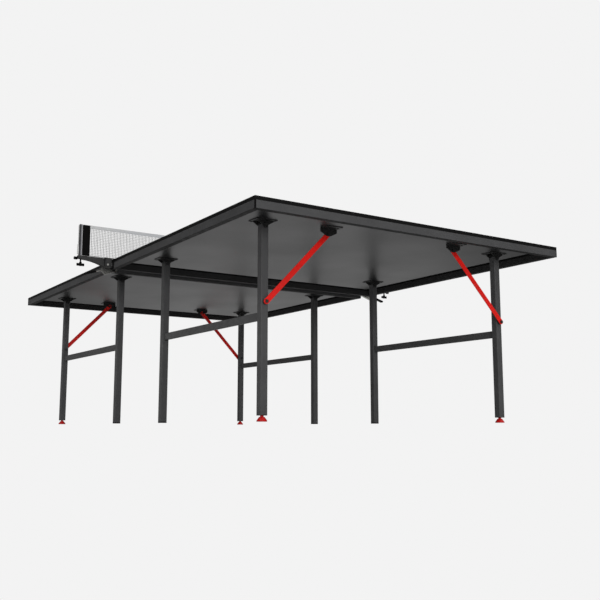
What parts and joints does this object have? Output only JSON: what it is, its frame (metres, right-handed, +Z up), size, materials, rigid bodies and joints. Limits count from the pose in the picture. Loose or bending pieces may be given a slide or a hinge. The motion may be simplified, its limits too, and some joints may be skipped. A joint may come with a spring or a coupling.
{
  "type": "table tennis table",
  "caption": "Full-size table tennis table: two top halves on black aprons, folding leg frames with red braces and levelling feet, and a clamped net.",
  "frame": {"origin": "on the floor, straight below the middle of the net", "axes": "+X along the table's length, towards the half called near; +Y across, towards the side called right; +Z up"},
  "size_m": [2.74, 1.867, 0.92],
  "materials": {
    "tabletop": "matt blue paint on top, glossy dark grey coat underneath",
    "apron_steel": "satin black powder coat",
    "leg_steel": "satin anthracite powder coat",
    "red_steel": "satin red powder coat",
    "red_plastic": "moulded red plastic",
    "black_plastic": "moulded black plastic",
    "black_steel": "black powder coat",
    "zinc_steel": "zinc plated",
    "post_aluminium": "grey anodised",
    "net_fabric": "fine knotted net",
    "tape_fabric": "woven white band",
    "cord": "braided cord with a plastic lock"
  },
  "bodies": {
    "table": {"near_table_top": "tabletop", "far_table_top": "tabletop", "near_end_apron": "apron_steel", "near_net_apron": "apron_steel", "near_left_apron": "apron_steel", "near_right_apron": "apron_steel", "far_end_apron": "apron_steel", "far_net_apron": "apron_steel", "far_left_apron": "apron_steel", "far_right_apron": "apron_steel", "apron_corner_caps": "black_plastic", "leg_hinge_brackets": "black_steel", "leg_pivot_bolts": "black_steel", "brace_brackets": "black_steel", "brace_pins": "black_steel", "mounting_screws": "black_steel", "net_clamp_left": "black_steel", "net_clamp_right": "black_steel", "net_posts": "post_aluminium", "net_end_sleeves": "black_plastic", "net_mesh": "net_fabric", "net_tape": "tape_fabric", "net_tension_cords": "cord", "clamp_pivot_pins": "zinc_steel"},
    "near_left_leg_frame": {"near_left_end_leg": "leg_steel", "near_left_net_leg": "leg_steel", "near_left_crossbar": "leg_steel", "near_left_leg_plugs": "black_plastic", "near_left_brace_bolt": "black_steel"},
    "near_left_brace": {"near_left_brace": "red_steel"},
    "near_left_foot": {"near_left_foot": "red_plastic"},
    "near_right_leg_frame": {"near_right_end_leg": "leg_steel", "near_right_net_leg": "leg_steel", "near_right_crossbar": "leg_steel", "near_right_leg_plugs": "black_plastic", "near_right_brace_bolt": "black_steel"},
    "near_right_brace": {"near_right_brace": "red_steel"},
    "near_right_foot": {"near_right_foot": "red_plastic"},
    "far_left_leg_frame": {"far_left_end_leg": "leg_steel", "far_left_net_leg": "leg_steel", "far_left_crossbar": "leg_steel", "far_left_leg_plugs": "black_plastic", "far_left_brace_bolt": "black_steel"},
    "far_left_brace": {"far_left_brace": "red_steel"},
    "far_left_foot": {"far_left_foot": "red_plastic"},
    "far_right_leg_frame": {"far_right_end_leg": "leg_steel", "far_right_net_leg": "leg_steel", "far_right_crossbar": "leg_steel", "far_right_leg_plugs": "black_plastic", "far_right_brace_bolt": "black_steel"},
    "far_right_brace": {"far_right_brace": "red_steel"},
    "far_right_foot": {"far_right_foot": "red_plastic"},
    "clamp_lever_left": {"clamp_lever_left": "zinc_steel", "lever_grip_left": "black_plastic"},
    "post_screw_left": {"post_screw_left": "black_plastic"},
    "tension_knob_left": {"tension_knob_left": "black_plastic"},
    "clamp_lever_right": {"clamp_lever_right": "zinc_steel", "lever_grip_right": "black_plastic"},
    "post_screw_right": {"post_screw_right": "black_plastic"},
    "tension_knob_right": {"tension_knob_right": "black_plastic"}
  },
  "joints": [
    {"name": "near_left_leg_fold", "type": "hinge", "parent": "table", "child": "near_left_leg_frame", "pos_m": [1.1275, -0.586, 0.725], "axis": [1, 0, 0], "range_deg": [0, 86]},
    {"name": "near_left_brace_swing", "type": "hinge", "parent": "near_left_leg_frame", "child": "near_left_brace", "pos_m": [1.1275, -0.586, 0.4365], "axis": [1, 0, 0], "range_deg": [-130, 0]},
    {"name": "near_left_foot_screw", "type": "slide", "parent": "near_left_leg_frame", "child": "near_left_foot", "axis": [0, 0, 1], "range_m": [-0.015, 0]},
    {"name": "near_right_leg_fold", "type": "hinge", "parent": "table", "child": "near_right_leg_frame", "pos_m": [1.1685, 0.586, 0.725], "axis": [-1, 0, 0], "range_deg": [0, 86]},
    {"name": "near_right_brace_swing", "type": "hinge", "parent": "near_right_leg_frame", "child": "near_right_brace", "pos_m": [1.1685, 0.586, 0.4365], "axis": [-1, 0, 0], "range_deg": [-130, 0]},
    {"name": "near_right_foot_screw", "type": "slide", "parent": "near_right_leg_frame", "child": "near_right_foot", "axis": [0, 0, 1], "range_m": [-0.015, 0]},
    {"name": "far_left_leg_fold", "type": "hinge", "parent": "table", "child": "far_left_leg_frame", "pos_m": [-1.1685, -0.586, 0.725], "axis": [1, 0, 0], "range_deg": [0, 86]},
    {"name": "far_left_brace_swing", "type": "hinge", "parent": "far_left_leg_frame", "child": "far_left_brace", "pos_m": [-1.1685, -0.586, 0.4365], "axis": [1, 0, 0], "range_deg": [-130, 0]},
    {"name": "far_left_foot_screw", "type": "slide", "parent": "far_left_leg_frame", "child": "far_left_foot", "axis": [0, 0, 1], "range_m": [-0.015, 0]},
    {"name": "far_right_leg_fold", "type": "hinge", "parent": "table", "child": "far_right_leg_frame", "pos_m": [-1.1275, 0.586, 0.725], "axis": [-1, 0, 0], "range_deg": [0, 86]},
    {"name": "far_right_brace_swing", "type": "hinge", "parent": "far_right_leg_frame", "child": "far_right_brace", "pos_m": [-1.1275, 0.586, 0.4365], "axis": [-1, 0, 0], "range_deg": [-130, 0]},
    {"name": "far_right_foot_screw", "type": "slide", "parent": "far_right_leg_frame", "child": "far_right_foot", "axis": [0, 0, 1], "range_m": [-0.015, 0]},
    {"name": "clamp_lever_left_squeeze", "type": "hinge", "parent": "table", "child": "clamp_lever_left", "pos_m": [-0.027, -0.781, 0.736], "axis": [-1, 0, 0], "range_deg": [0, 15], "stiffness_Nm_per_rad": 2, "springref_deg": -22.92},
    {"name": "post_screw_left_turn", "type": "hinge", "parent": "table", "child": "post_screw_left", "pos_m": [0, -0.902, 0.74], "axis": [0, 0, 1], "range_deg": [-180, 180]},
    {"name": "tension_knob_left_turn", "type": "hinge", "parent": "table", "child": "tension_knob_left", "pos_m": [0, -0.917, 0.757], "axis": [0, 1, 0], "range_deg": [-180, 180]},
    {"name": "clamp_lever_right_squeeze", "type": "hinge", "parent": "table", "child": "clamp_lever_right", "pos_m": [0.027, 0.781, 0.736], "axis": [1, 0, 0], "range_deg": [0, 15], "stiffness_Nm_per_rad": 2, "springref_deg": -22.92},
    {"name": "post_screw_right_turn", "type": "hinge", "parent": "table", "child": "post_screw_right", "pos_m": [0, 0.902, 0.74], "axis": [0, 0, 1], "range_deg": [-180, 180]},
    {"name": "tension_knob_right_turn", "type": "hinge", "parent": "table", "child": "tension_knob_right", "pos_m": [0, 0.917, 0.757], "axis": [0, 1, 0], "range_deg": [-180, 180]}
  ],
  "couplings": [
    {"joint": "near_left_brace_swing", "follows": "near_left_leg_fold", "ratio": -1.5},
    {"joint": "near_right_brace_swing", "follows": "near_right_leg_fold", "ratio": -1.5},
    {"joint": "far_left_brace_swing", "follows": "far_left_leg_fold", "ratio": -1.5},
    {"joint": "far_right_brace_swing", "follows": "far_right_leg_fold", "ratio": -1.5}
  ]
}
